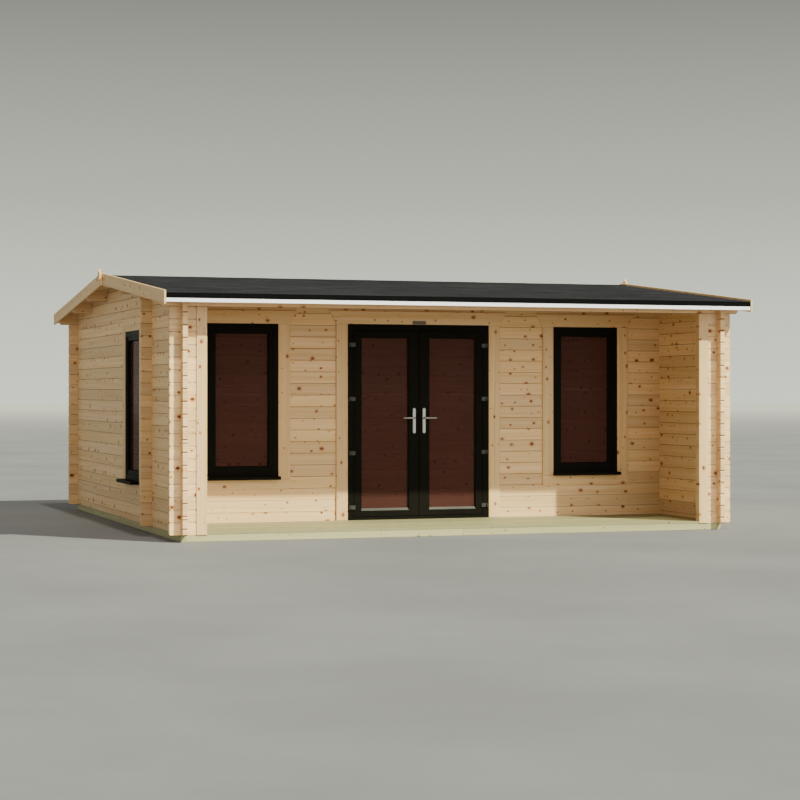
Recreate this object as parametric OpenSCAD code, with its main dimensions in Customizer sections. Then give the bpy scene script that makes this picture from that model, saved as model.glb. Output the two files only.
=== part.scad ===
// Log cabin with a front porch under the main roof.
// Origin: centre of the footprint at ground level. +X is to the right seen from the front,
// the front faces -Y, +Z is up. All lengths are in millimetres.

/* [Walls] */
// Width over the outer faces of the side walls
cabin_w = 5400; // [4500:10:6600]
// Depth over the ends of the side wall logs
cabin_d = 5560; // [4600:10:6700]
// Height of the walls from the base beams to the top of the eave beams
eave_h = 2166; // [2060:1:2600]
// Log thickness
log_t = 44; // [28:1:60]
// Height of one log
log_h = 114; // [90:1:140]
// Chamfer along the faces of a log, which makes the V seams
seam = 3; // [1:0.5:6]
// Chamfer at the free ends of a log
log_end = 10; // [2:1:20]
// How far cross wall logs stick out past the side walls
cross_out = 103; // [40:1:160]
// How far side wall logs stick out past the cross walls
side_out = 85; // [40:1:160]
// How far the short front corner logs reach inside the side walls
stub_in = 96; // [40:1:160]

/* [Porch] */
// Depth of the porch, from the front corner logs to the front wall
porch_d = 1260; // [900:5:1800]
// Width of the post boards
post_w = 99; // [60:1:140]
// Depth of the post boards
post_d = 71; // [44:1:120]
// How far the post boards stand in front of the corner logs
post_proud = 9; // [0:1:30]

/* [Base] */
// Height of the base beams
base_h = 62; // [50:1:100]
// Width of the base beams and bearers
base_w = 45; // [44:1:120]
// Number of bearers under the floor and the deck
bearers = 7; // [3:1:11]
// Thickness of the floor and deck boards
floor_t = 20; // [12:1:40]

/* [Roof] */
// Roof slope in degrees
pitch = 6; // [4:0.5:12]
// Purlins on each slope between the ridge and the eave
purlins = 2; // [1:1:3]
// Distance from the wall's outer face to the outer face of the front bargeboards
verge = 210; // [120:5:400]
// Distance from the eave beam's outer face to the outer face of the eave board
eave_out = 255; // [100:5:500]
// Thickness of the roof boards
board_t = 18; // [12:1:30]
// Thickness of the roof covering
cover_t = 3; // [2:0.5:8]
// Thickness of the bargeboards
barge_t = 20; // [12:1:35]
// Height of the bargeboards
barge_h = 122; // [80:1:180]
// How far the bargeboards stand above the roof covering
barge_up = 24; // [5:1:50]
// How far the bargeboards reach in front of the eave board
barge_out = 5; // [0:1:30]
// Width of the pointed ridge plates over the joint of the bargeboards
ridge_plate_w = 90; // [40:2:140]
// Height of the ridge plates up to their shoulders
ridge_plate_h = 70; // [40:2:110]
// Rise of the ridge plates' point
ridge_plate_rise = 40; // [10:2:60]
// Thickness of the eave boards
eave_board_t = 18; // [12:1:30]
// Height of the white strip that shows below the edge trim
eave_board_show = 35; // [15:1:90]
// Height of the metal edge trim
edge_h = 46; // [25:1:80]
// Thickness of the metal edge trim
edge_t = 2; // [1:0.5:4]
// Width of the edge trim's flange on the covering
edge_lap = 45; // [20:1:90]
// Chamfer at the lower corners of the purlin ends
purlin_cut = 20; // [5:1:45]
// Chamfer at the lower corners of the eave beam ends
beam_cut = 20; // [5:1:60]

/* [Door] */
// Width of the door frame
door_w = 1490; // [1200:5:1800]
// Height of the door frame
door_h = 1936; // [1800:1:2000]
// Width of the frame's sides and head
frame_face = 62; // [40:1:90]
// Height of the threshold
threshold_h = 30; // [20:1:50]
// Width of the lip that stops the leaves
stop_lip = 15; // [8:1:25]
// Thickness of the lip that stops the leaves
stop_t = 20; // [8:1:30]
// How far the door frame stands in front of the wall
frame_proud = 11; // [5:1:60]
// Thickness of the leaves
leaf_t = 60; // [40:1:75]
// Running gap round a leaf
leaf_gap = 5; // [5:0.5:8]
// Gap between the two leaves
meeting_gap = 6; // [6:0.5:10]
// Bevel at the back of the meeting edges
meeting_bevel = 5; // [4:0.5:10]
// Width of the stile at the hinges
hinge_stile = 71; // [50:1:110]
// Width of the stile where the leaves meet
meeting_stile = 102; // [80:1:140]
// Height of the top rail
top_rail = 60; // [40:1:120]
// Height of the bottom rail
bottom_rail = 55; // [50:1:200]
// Thickness of the glass units
glass_t = 24; // [6:1:32]
// Depth of the door glass behind the face of its leaf
glass_back = 16; // [8:1:25]

/* [Door fittings] */
// Hinges on each leaf
hinge_count = 4; // [2:1:5]
// Distance between hinges
hinge_step = 535; // [200:5:800]
// Height of the lowest hinge above the threshold's underside
hinge_low = 106; // [80:1:250]
// Height of a hinge
hinge_h = 40; // [30:1:90]
// Width of the hinge flag on the leaf
hinge_flag = 60; // [50:1:75]
// Distance from the frame's outer edge to the hinge pins
hinge_edge = 18; // [14:1:40]
// Distance from the frame's face to the hinge pins
hinge_stand = 12; // [10:1:20]
// Radius of the hinge barrels
barrel_r = 8; // [6:0.5:9]
// Radius of the hinge pins
pin_r = 4; // [2.5:0.5:5]
// Height of the lever axis above the threshold's underside
lever_z = 1006; // [800:1:1200]
// Distance from the meeting line to the lever axis
lever_x = 52; // [35:1:75]
// Length of the levers
lever_len = 125; // [80:1:150]
// Height of the handle plates
plate_h = 250; // [120:1:300]
// Width of the handle plates
plate_w = 29; // [24:1:60]
// Thickness of the handle plates
plate_t = 8; // [3:0.5:12]
// Distance from a plate's top to the lever axis
plate_top = 98; // [40:1:150]
// Width of the small plate above the door
badge_w = 140; // [60:5:250]
// Height of the small plate above the door
badge_h = 34; // [20:1:60]
// Thickness of the small plate above the door
badge_t = 3; // [1:0.5:8]

/* [Windows] */
// Width of the window frames
window_w = 715; // [500:5:850]
// Height of the window frames
window_h = 1483; // [900:1:1600]
// Height of the window frames above the base beams
window_z = 466; // [350:1:900]
// Distance of the front windows from the cabin's centre
window_x = 1810; // [1500:5:2100]
// Distance of the gable window in front of the ridge
gable_window_y = 565; // [0:5:700]
// How much lower the gable window sits than the front windows
gable_window_drop = 57; // [0:1:120]
// Width of the outer frame members
window_frame = 50; // [35:1:70]
// Width of the sash members
window_sash = 38; // [25:1:60]
// Depth of the sash behind the frame's face
sash_back = 8; // [2:1:20]
// Depth of the window frames
window_d = 70; // [64:1:90]
// How far the window frames stand in front of the wall
window_proud = 11; // [0:1:40]
// Depth of the window glass behind the face of its sash
window_glass_back = 28; // [8:1:30]
// Height of the cills
cill_h = 32; // [20:1:50]
// How far the cills stand in front of the frames
cill_out = 95; // [15:1:120]
// How far the cills reach past the frame on each side
cill_ear = 3; // [0:1:60]

/* [Trim boards] */
// Width of the boards beside doors and windows
trim_side = 118; // [60:1:150]
// Height of the boards over doors and windows
trim_top = 128; // [60:1:160]
// Height of the boards under windows
trim_bottom = 100; // [60:1:150]
// How far the top boards flare out past the side boards
trim_flare = 70; // [0:1:100]
// Thickness of the trim boards
trim_t = 18; // [10:1:25]

/* [Hidden] */
$fn = 48;

// Clearances between pieces that sit on or against each other
fit = 0.4;
seat = 0.3;

// Levels and places worked out from the driving dimensions
courses = round(eave_h / log_h);
wall_h = courses * log_h;
quarter = log_h / 4;
slope = tan(pitch);
half_w = cabin_w / 2;
eave_y = cabin_d / 2 - side_out;
front_y = -eave_y + porch_d;
ridge_h = wall_h + eave_y * slope;
verge_x = half_w + verge - barge_t;
rear_verge_x = half_w + verge;
edge_y = eave_y + eave_out;
barge_y = edge_y + barge_out;
floor_z = base_h + floor_t;
stub_x = half_w - log_t - stub_in;
post_x = stub_x - fit - post_w;
side_courses = floor((ridge_h - log_h / 4) / log_h + 0.5);
door_courses = ceil((floor_t + door_h) / log_h) - 1;
front_courses = floor((roof_under(front_y) - base_h - log_h / 4) / log_h);
purlin_step = (eave_y - log_t / 2) / (purlins + 1);
purlin_lift = log_t / 2 * slope;

// Door leaves
frame_y = front_y - frame_proud;
frame_d = leaf_t + leaf_gap + stop_t;
leaf_x = door_w / 2 - frame_face - leaf_gap;
leaf_w = leaf_x - meeting_gap / 2;
leaf_z = floor_z + seat + threshold_h + leaf_gap;
leaf_h = door_h - frame_face - threshold_h - 2 * leaf_gap;
pin_x = door_w / 2 - hinge_edge;
pin_y = frame_y - hinge_stand;
lever_height = floor_z + seat + lever_z;
hub_r = 11;
hub_l = 40;
spindle_r = 4.5;
spindle_hole_r = 6;
arm_h = 17;
arm_t = 11;

// Height of the underside of the roof boards at a place along Y
function roof_under(y) = base_h + ridge_h - abs(y) * slope;
function roof_top(y) = roof_under(y) + board_t + cover_t;

// Space below a sloped roof plane that lies drop under the roof boards
module roof_space(drop = seat) {
    span = edge_y + 500;
    rotate([90, 0, 90])
        translate([0, 0, -cabin_w])
            linear_extrude(2 * cabin_w)
                polygon([[-span, 0], [span, 0], [span, roof_under(span) - drop],
                         [0, roof_under(0) - drop], [-span, roof_under(span) - drop]]);
}

// Log along X from x0 to x1, with its front face at y0, from z0 to z1. cut is its end chamfer at the
// top and cut_low at the bottom. crossings lists the left edges of the logs that cross it.
module log_x(x0, x1, y0, z0, z1, cut = log_end, cut_low = log_end, crossings = [], neck = [0, 0]) {
    h = z1 - z0;
    c = min(cut, h / 3);
    d = min(cut_low, h / 2);
    difference() {
        translate([0, y0, z0])
            intersection() {
                translate([0, log_t, 0])
                    rotate([90, 0, 0])
                        linear_extrude(log_t)
                            polygon([[x0 + d, 0], [x1 - d, 0], [x1, d], [x1, h - c],
                                     [x1 - c, h], [x0 + c, h], [x0, h - c], [x0, d]]);
                translate([x0, 0, 0])
                    rotate([90, 0, 90])
                        linear_extrude(x1 - x0)
                            polygon([[seam, 0], [log_t - seam, 0], [log_t, seam], [log_t, h - seam],
                                     [log_t - seam, h], [seam, h], [0, h - seam], [0, seam]]);
            }
        for (x = crossings) {
            translate([x - fit, y0 - 1, neck[1]])
                cube([log_t + 2 * fit, log_t + 2, log_h * 2]);
            translate([x - fit, y0 - 1, neck[0] - log_h * 2])
                cube([log_t + 2 * fit, log_t + 2, log_h * 2]);
        }
    }
}

// Log number j of a cross wall, whose first log is a full one
module cross_log(j, x0, x1, y0, crossings, z1 = undef, cut = log_end, cut_low = log_end) {
    z = base_h + j * log_h;
    log_x(x0, x1, y0, z + fit / 2, is_undef(z1) ? z + log_h - fit / 2 : z1, cut, cut_low,
          crossings, [z + quarter + fit / 2, z + 3 * quarter - fit / 2]);
}

// Log number k of the left side wall, whose first log is a half one
module side_log(k) {
    z = base_h + k * log_h;
    z0 = k == 0 ? z + seat : z - log_h / 2 + fit / 2;
    rotate([0, 0, 90])
        log_x(-cabin_d / 2, cabin_d / 2, half_w - log_t, z0, z + log_h / 2 - fit / 2,
              crossings = [-eave_y, front_y, eave_y - log_t],
              neck = [k == 0 ? z0 - 1 : z - quarter + fit / 2, z + quarter - fit / 2]);
}

// Space that the purlins take out of the side walls
module purlin_pockets() {
    for (i = [-purlins : purlins]) {
        y = i * purlin_step;
        translate([-half_w - 1, y - log_t / 2 - fit, purlin_bottom(y) - fit])
            cube([log_t + 2, log_t + 2 * fit, log_h * 2]);
    }
}

function purlin_bottom(y) = roof_under(max(abs(y) - log_t / 2, 0)) - log_h;

// Hole for a window in a wall's own frame: outer face at y = 0, base beams' top at z = 0
module window_hole() {
    translate([-window_w / 2 - fit, -1, window_z - cill_h - fit])
        cube([window_w + 2 * fit, log_t + 2, window_h + cill_h + 2 * fit]);
}

module at_front(x) {
    translate([x, front_y, base_h])
        children();
}

module at_left_gable() {
    translate([-half_w, -gable_window_y, base_h - gable_window_drop])
        rotate([0, 0, -90])
            children();
}

module door_hole() {
    translate([-door_w / 2 - fit, front_y - 1, base_h - 1])
        cube([door_w + 2 * fit, log_t + 2, floor_t + seat + door_h + fit + 1]);
}

// ---- base ----

module beam(x0, x1, y0, y1) {
    translate([x0 + fit / 2, y0 + fit / 2, 0])
        cube([x1 - x0 - fit, y1 - y0 - fit, base_h]);
}

module base_beams() {
    inner = half_w - base_w;
    bearer_x = inner - base_w / 2;
    color("#c8c496") {
        for (side = [-1, 1])
            beam(side < 0 ? -half_w : inner, side < 0 ? -inner : half_w, -eave_y, eave_y);
        beam(-inner, 0, -eave_y, base_w - eave_y);
        beam(0, inner, -eave_y, base_w - eave_y);
        beam(-inner, inner, front_y, front_y + base_w);
        beam(-inner, inner, eave_y - base_w, eave_y);
        for (i = [0 : bearers - 1]) {
            x = -bearer_x + i * 2 * bearer_x / (bearers - 1);
            beam(x - base_w / 2, x + base_w / 2, base_w - eave_y, front_y);
            beam(x - base_w / 2, x + base_w / 2, front_y + base_w, eave_y - base_w);
        }
    }
}

module porch_deck() {
    side = half_w - log_t - fit;
    front = post_x - fit;
    notch = max(post_d - post_proud, log_t) - eave_y + fit;
    color("#cfcba2")
        translate([0, 0, base_h + seat])
            linear_extrude(floor_t - seat)
                polygon([[-front, -eave_y], [front, -eave_y], [front, notch], [side, notch],
                         [side, front_y - fit], [-side, front_y - fit], [-side, notch],
                         [-front, notch]]);
}

module room_floor() {
    side = half_w - log_t - fit;
    tongue = door_w / 2 - fit;
    front = front_y + log_t + fit;
    back = eave_y - log_t - fit;
    color("#cfcba2")
        translate([0, 0, base_h + seat])
            linear_extrude(floor_t - seat)
                polygon([[-tongue, front_y], [tongue, front_y], [tongue, front], [side, front],
                         [side, back], [-side, back], [-side, front], [-tongue, front]]);
}

// ---- walls ----

module side_wall(window) {
    color("#d9b98c")
        intersection() {
            roof_space();
            difference() {
                union()
                    for (k = [0 : side_courses])
                        side_log(k);
                purlin_pockets();
                if (window)
                    at_left_gable()
                        window_hole();
            }
        }
}

module left_wall() {
    side_wall(true);
}

module right_wall() {
    mirror([1, 0, 0])
        side_wall(false);
}

wall_crossings = [-half_w, half_w - log_t];

module full_cross_log(j, y0, z1 = undef) {
    cross_log(j, -half_w - cross_out, half_w + cross_out, y0, wall_crossings, z1);
}

module back_wall() {
    color("#d9b98c")
        for (j = [0 : courses - 2])
            full_cross_log(j, eave_y - log_t);
}

// The front wall's logs from course a to course b, with the holes cut
module front_logs(a, b) {
    difference() {
        union()
            for (j = [a : b])
                full_cross_log(j, front_y, j == front_courses ? roof_under(front_y) + log_t : undef);
        door_hole();
        for (side = [-1, 1])
            at_front(side * window_x)
                window_hole();
    }
}

module front_wall_left() {
    color("#d9b98c")
        intersection() {
            front_logs(0, door_courses - 1);
            translate([-cabin_w, front_y - 1, 0])
                cube([cabin_w, log_t + 2, eave_h * 2]);
        }
}

module front_wall_right() {
    color("#d9b98c")
        intersection() {
            front_logs(0, door_courses - 1);
            translate([0, front_y - 1, 0])
                cube([cabin_w, log_t + 2, eave_h * 2]);
        }
}

module front_wall_over_door() {
    color("#d9b98c")
        intersection() {
            roof_space();
            front_logs(door_courses, front_courses);
        }
}

module left_corner_logs() {
    color("#d9b98c")
        for (j = [0 : courses - 2])
            cross_log(j, -half_w - cross_out, -stub_x, -eave_y, [-half_w]);
}

module right_corner_logs() {
    mirror([1, 0, 0])
        left_corner_logs();
}

module left_post() {
    color("#dcbd90")
        translate([-post_x - post_w, -eave_y - post_proud, base_h + seat])
            cube([post_w, post_d, wall_h - log_h - 2 * seat]);
}

module right_post() {
    mirror([1, 0, 0])
        left_post();
}

// ---- roof ----

module eave_beam(y0, reach) {
    intersection() {
        roof_space();
        cross_log(courses - 1, -reach, reach, y0, wall_crossings, base_h + wall_h + log_t, seam,
                  beam_cut);
    }
}

module front_eave_beam() {
    color("#c9a473")
        eave_beam(-eave_y, verge_x - seat);
}

module rear_eave_beam() {
    color("#c9a473")
        eave_beam(eave_y - log_t, rear_verge_x - seat);
}

module purlin(y) {
    z = purlin_bottom(y);
    reach = (y > 0 ? rear_verge_x : verge_x) - seat;
    color("#c9a473")
        intersection() {
            roof_space();
            log_x(-reach, reach, y - log_t / 2, z, z + log_h + purlin_lift, seam, purlin_cut);
        }
}

module ridge_purlin() {
    purlin(0);
}

module slope_purlins() {
    for (i = [1 : purlins], side = [-1, 1])
        purlin(side * i * purlin_step);
}

// How far the roof reaches sideways: the rear half reaches out to the rear bargeboards, which lie
// outside the front ones
function reach(side) = (side == 0 ? rear_verge_x : verge_x) - seat;

// Bars along X on both eaves or slopes, from an outline of the rear one in Y and Z
module both_slopes(outline) {
    for (side = [0, 1])
        mirror([0, side, 0])
            translate([-reach(side), 0, 0])
                rotate([90, 0, 90])
                    linear_extrude(2 * reach(side))
                        polygon(outline);
}

// Outline of a sheet on the rear slope from y0 to y1, between two heights over the underside of the
// roof boards
function sheet(y0, y1, low, high) = [
    [y0, roof_under(y0) + low], [y1, roof_under(y1) + low],
    [y1, roof_under(y1) + high], [y0, roof_under(y0) + high]
];

module roof_boards() {
    color("#c9a473")
        both_slopes(sheet(fit / 2, edge_y - edge_t - eave_board_t - seat, 0, board_t - seat / 2));
}

module roof_covering() {
    color("#3f3f3f")
        both_slopes(sheet(fit / 2, edge_y - edge_t - seat, board_t, board_t + cover_t - seat / 2));
}

// Lowest point of the edge trim and of the eave board behind it
edge_low = roof_top(edge_y) + edge_t - edge_h;
board_low = edge_low - eave_board_show;

module eave_boards() {
    y1 = edge_y - edge_t - seat;
    y0 = y1 - eave_board_t + seat;
    top = board_t - seat;
    color("#f2f2ee")
        both_slopes([[y0, board_low], [y1, board_low], [y1, roof_under(y1) + top],
                     [y0, roof_under(y0) + top]]);
}

module edge_trims() {
    y0 = edge_y - edge_lap;
    y1 = edge_y - edge_t;
    color("#141414")
        both_slopes([[y0, roof_top(y0)], [y1, roof_top(y1)], [y1, edge_low], [edge_y, edge_low],
                     [edge_y, roof_top(edge_y) + edge_t], [y0, roof_top(y0) + edge_t]]);
}

// Front and rear bargeboards of the left gable; they lap at the ridge
module left_bargeboards() {
    color("#d2ad7e")
        for (side = [0, 1])
            mirror([0, side, 0])
                translate([-half_w - verge - (side == 0 ? barge_t : seat), 0, 0])
                    rotate([90, 0, 90])
                        linear_extrude(barge_t - seat)
                            polygon([[fit / 2, roof_top(0) + barge_up],
                                     [fit / 2, roof_top(0) + barge_up - barge_h],
                                     [barge_y, roof_top(barge_y) + barge_up - barge_h],
                                     [barge_y, roof_top(barge_y) + barge_up]]);
}

module right_bargeboards() {
    mirror([1, 0, 0])
        left_bargeboards();
}

// Pointed plates on the ends of the rear bargeboards at the ridge
module ridge_plates() {
    w = ridge_plate_w / 2;
    shoulder = roof_top(0) + barge_up;
    color("#d2ad7e")
        for (side = [0, 1])
            mirror([side, 0, 0])
                translate([-rear_verge_x - 2 * barge_t - seat, 0, 0])
                    rotate([90, 0, 90])
                        linear_extrude(barge_t)
                            polygon([[-w, shoulder - ridge_plate_h], [w, shoulder - ridge_plate_h],
                                     [w, shoulder], [0, shoulder + ridge_plate_rise],
                                     [-w, shoulder]]);
}

// ---- windows, each in the frame of its wall ----

// Ring of a size w by h round a hole that lies b inside it, from y0 to y1
module ring(w, h, b, y0, y1) {
    translate([-w / 2, y0, 0])
        difference() {
            cube([w, y1 - y0, h]);
            translate([b, -1, b])
                cube([w - 2 * b, y1 - y0 + 2, h - 2 * b]);
        }
}

module window_frame_part() {
    color("#17160f") {
        translate([0, 0, window_z])
            union() {
                ring(window_w, window_h, window_frame, -window_proud, window_d - window_proud);
                translate([0, 0, window_frame])
                    ring(window_w - 2 * window_frame, window_h - 2 * window_frame, window_sash,
                         sash_back - window_proud, window_d - window_proud - sash_back);
            }
        translate([-window_w / 2, -window_proud - cill_out, window_z - cill_h])
            union() {
                cube([window_w, window_proud + cill_out + log_t, cill_h - seat]);
                translate([-cill_ear, 0, 0])
                    cube([window_w + 2 * cill_ear, window_proud + cill_out - trim_t - seat,
                          cill_h - seat]);
            }
    }
}

module window_glass_part() {
    b = window_frame + window_sash + seat;
    color("#3e231c")
        translate([b - window_w / 2, sash_back + window_glass_back - window_proud, window_z + b])
            cube([window_w - 2 * b, glass_t, window_h - 2 * b]);
}

// Flat board with a top edge wider than its bottom edge
module flared_board(w, h) {
    translate([0, -seat, 0])
        rotate([90, 0, 0])
            linear_extrude(trim_t - seat)
                polygon([[-w / 2, 0], [w / 2, 0], [w / 2 + trim_flare, h],
                         [-w / 2 - trim_flare, h]]);
}

module trim_board(x, z, w, h) {
    translate([x, -trim_t, z])
        cube([w, trim_t - seat, h]);
}

module window_trim_part() {
    low = window_z - cill_h;
    top = window_z + window_h;
    wide = window_w + 2 * trim_side;
    color("#cfa878") {
        for (side = [-1, 1])
            trim_board(side < 0 ? -wide / 2 : window_w / 2 + seat, low, trim_side - seat,
                       top - low);
        trim_board(-wide / 2, low - fit - trim_bottom, wide, trim_bottom);
        translate([0, 0, top + fit])
            flared_board(wide, trim_top);
    }
}

module left_window_frame() {
    at_front(-window_x)
        window_frame_part();
}

module right_window_frame() {
    at_front(window_x)
        window_frame_part();
}

module gable_window_frame() {
    at_left_gable()
        window_frame_part();
}

module window_glass() {
    for (side = [-1, 1])
        at_front(side * window_x)
            window_glass_part();
    at_left_gable()
        window_glass_part();
}

module left_window_trim() {
    at_front(-window_x)
        window_trim_part();
}

module right_window_trim() {
    at_front(window_x)
        window_trim_part();
}

module gable_window_trim() {
    at_left_gable()
        window_trim_part();
}

// ---- door ----

// Frame bar whose cross section is an L with the stop lip at its back
module frame_bar(w, lip, length) {
    linear_extrude(length)
        polygon([[0, 0], [w, 0], [w, frame_d - stop_t], [w + lip, frame_d - stop_t],
                 [w + lip, frame_d], [0, frame_d]]);
}

module door_frame() {
    z = floor_z + seat;
    color("#17160f") {
        for (side = [0, 1])
            mirror([side, 0, 0])
                translate([-door_w / 2, frame_y, z + threshold_h + fit])
                    frame_bar(frame_face, stop_lip, door_h - threshold_h - frame_face - 2 * fit);
        translate([-door_w / 2, frame_y, z + door_h])
            rotate([0, 90, 0])
                frame_bar(frame_face, stop_lip, door_w);
        mirror([1, 0, 0])
            translate([-door_w / 2, frame_y, z])
                rotate([0, -90, 0])
                    mirror([0, 0, 1])
                        frame_bar(threshold_h, stop_lip, door_w);
    }
}

module door_trim() {
    z = floor_z + seat;
    wide = door_w + 2 * trim_side;
    color("#cfa878")
        translate([0, front_y, 0]) {
            for (side = [-1, 1])
                trim_board(side < 0 ? -wide / 2 : door_w / 2 + seat, z, trim_side - seat, door_h);
            translate([0, 0, z + door_h + fit])
                flared_board(wide, trim_top);
        }
}

module door_badge() {
    color("#8b857c")
        translate([-badge_w / 2, front_y - trim_t - seat - badge_t, floor_z + door_h + 2])
            cube([badge_w, badge_t, badge_h]);
}

// Children at each hinge of the left leaf, with the pin's axis on Z and the hinge's foot at z = 0
module at_hinges() {
    for (i = [0 : hinge_count - 1])
        translate([-pin_x, pin_y, floor_z + hinge_low + i * hinge_step])
            children();
}

module frame_hinge() {
    half = hinge_h / 2 - fit / 2;
    union() {
        cylinder(r = barrel_r, h = half);
        cylinder(r = pin_r, h = hinge_h - fit);
        translate([-barrel_r, 0, 0])
            cube([2 * barrel_r, hinge_stand - seat, half]);
    }
}

module frame_hinges() {
    color("#77756f")
        for (side = [0, 1])
            mirror([side, 0, 0])
                at_hinges()
                    frame_hinge();
}

module leaf_hinge() {
    half = hinge_h / 2 - fit / 2;
    start = norm([barrel_r, hinge_stand]) + 2;
    over = pin_x - leaf_x;
    difference() {
        union() {
            translate([0, 0, hinge_h - half])
                cylinder(r = barrel_r, h = half);
            translate([0, 2, hinge_h - half])
                cube([start, 6, half]);
            translate([start, 2, 0])
                cube([hinge_flag - start, hinge_stand - 4, hinge_h]);
            translate([over + 4, 2, 0])
                cube([hinge_flag - over - 4, hinge_stand - 2 - seat, hinge_h]);
        }
        translate([0, 0, -1])
            cylinder(r = pin_r + 0.1, h = hinge_h + 2);
    }
}

module left_leaf_hinges() {
    color("#77756f")
        at_hinges()
            leaf_hinge();
}

module right_leaf_hinges() {
    mirror([1, 0, 0])
        left_leaf_hinges();
}

module left_leaf() {
    glass_w = leaf_w - hinge_stile - meeting_stile;
    glass_h = leaf_h - top_rail - bottom_rail;
    color("#17160f")
        difference() {
            translate([-leaf_x, frame_y, leaf_z])
                linear_extrude(leaf_h)
                    polygon([[0, 0], [leaf_w, 0], [leaf_w - meeting_bevel, leaf_t], [0, leaf_t]]);
            translate([hinge_stile - leaf_x, frame_y - 1, leaf_z + bottom_rail])
                cube([glass_w, leaf_t + 2, glass_h]);
            translate([-lever_x, frame_y - 1, lever_height])
                rotate([-90, 0, 0])
                    cylinder(r = spindle_hole_r, h = leaf_t + 2);
        }
}

module right_leaf() {
    mirror([1, 0, 0])
        left_leaf();
}

module left_leaf_glass() {
    glass_w = leaf_w - hinge_stile - meeting_stile;
    glass_h = leaf_h - top_rail - bottom_rail;
    color("#3e231c")
        translate([hinge_stile - leaf_x + seat, frame_y + glass_back, leaf_z + bottom_rail + seat])
            cube([glass_w - 2 * seat, glass_t, glass_h - 2 * seat]);
}

module right_leaf_glass() {
    mirror([1, 0, 0])
        left_leaf_glass();
}

// Handle plate on the leaf's outer face, seen from the front
module handle_plate() {
    r = plate_w / 2;
    rotate([90, 0, 0])
        difference() {
            linear_extrude(plate_t)
                union() {
                    translate([-r, plate_top - plate_h + r])
                        square([plate_w, plate_h - plate_w]);
                    translate([0, plate_top - r])
                        circle(r);
                    translate([0, plate_top - plate_h + r])
                        circle(r);
                }
            translate([0, 0, -1])
                cylinder(r = spindle_hole_r, h = plate_t + 2);
        }
}

// Children on the outer face and mirrored on the inner face of the left leaf, at the lever's axis
module on_both_faces() {
    mid = frame_y + leaf_t / 2;
    for (side = [0, 1])
        translate([-lever_x, mid, lever_height])
            mirror([0, side, 0])
                translate([0, -leaf_t / 2 - seat, 0])
                    children();
}

module left_handle_plates() {
    color("#a5a5a0")
        on_both_faces()
            handle_plate();
}

module right_handle_plates() {
    mirror([1, 0, 0])
        left_handle_plates();
}

module lever_arm() {
    translate([0, -plate_t - fit, 0])
        rotate([90, 0, 0])
            union() {
                cylinder(r = hub_r, h = hub_l);
                translate([-lever_len + arm_h / 2, -arm_h / 2, hub_l - arm_t])
                    cube([lever_len - arm_h / 2, arm_h, arm_t]);
                translate([-lever_len + arm_h / 2, 0, hub_l - arm_t])
                    cylinder(r = arm_h / 2, h = arm_t);
            }
}

module left_lever() {
    reach = plate_t + 2 * seat + 10;
    color("#b4b4ae")
        union() {
            on_both_faces()
                lever_arm();
            translate([-lever_x, frame_y - reach, lever_height])
                rotate([-90, 0, 0])
                    cylinder(r = spindle_r, h = leaf_t + 2 * reach);
        }
}

module right_lever() {
    mirror([1, 0, 0])
        left_lever();
}

base_beams();
porch_deck();
room_floor();
left_wall();
right_wall();
back_wall();
front_wall_left();
front_wall_right();
front_wall_over_door();
left_corner_logs();
right_corner_logs();
left_post();
right_post();
front_eave_beam();
rear_eave_beam();
ridge_purlin();
slope_purlins();
roof_boards();
roof_covering();
eave_boards();
edge_trims();
left_bargeboards();
right_bargeboards();
ridge_plates();
left_window_frame();
right_window_frame();
gable_window_frame();
window_glass();
left_window_trim();
right_window_trim();
gable_window_trim();
door_frame();
door_trim();
door_badge();
frame_hinges();
left_leaf();
left_leaf_glass();
left_leaf_hinges();
left_handle_plates();
left_lever();
right_leaf();
right_leaf_glass();
right_leaf_hinges();
right_handle_plates();
right_lever();
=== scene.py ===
"""Looks of the log cabin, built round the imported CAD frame.

Lengths are in metres, +X is to the right seen from the front, and the front faces -Y."""

import math
import random

import bmesh
import bpy
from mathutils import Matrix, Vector


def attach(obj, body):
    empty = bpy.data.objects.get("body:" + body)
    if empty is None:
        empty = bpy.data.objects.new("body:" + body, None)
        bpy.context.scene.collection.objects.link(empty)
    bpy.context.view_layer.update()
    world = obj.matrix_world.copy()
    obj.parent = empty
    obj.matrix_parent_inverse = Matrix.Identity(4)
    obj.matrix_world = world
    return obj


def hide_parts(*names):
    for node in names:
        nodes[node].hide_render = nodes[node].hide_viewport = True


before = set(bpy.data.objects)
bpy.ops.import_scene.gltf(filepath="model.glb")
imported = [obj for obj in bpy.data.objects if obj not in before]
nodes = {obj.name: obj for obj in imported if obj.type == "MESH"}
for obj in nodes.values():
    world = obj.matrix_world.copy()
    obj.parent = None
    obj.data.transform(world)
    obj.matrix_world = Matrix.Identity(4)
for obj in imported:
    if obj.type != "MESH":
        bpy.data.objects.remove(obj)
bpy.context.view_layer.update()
rng = random.Random(11)

X, Y, Z = 0, 1, 2
RIGHT, UP = Vector((1, 0, 0)), Vector((0, 0, 1))
SIDES = (("left", -1), ("right", 1))

# ---- sizes taken over from the CAD source ----
FIT = 0.0004  # clearance between pieces side by side
SEAT = 0.0003  # clearance between a piece and what it rests on
HALF_W = 2.700
EAVE_Y = 2.695
FRONT_Y = -1.435
LOG_T = 0.044
LOG_H = 0.114
COURSES = 19
BASE_H = 0.062
BASE_W = 0.045
BEARERS = 7
FLOOR_T = 0.020
FLOOR_Z = BASE_H + FLOOR_T
POST_X = 2.4606
POST_W = 0.099
POST_D = 0.071
POST_PROUD = 0.009

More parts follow.
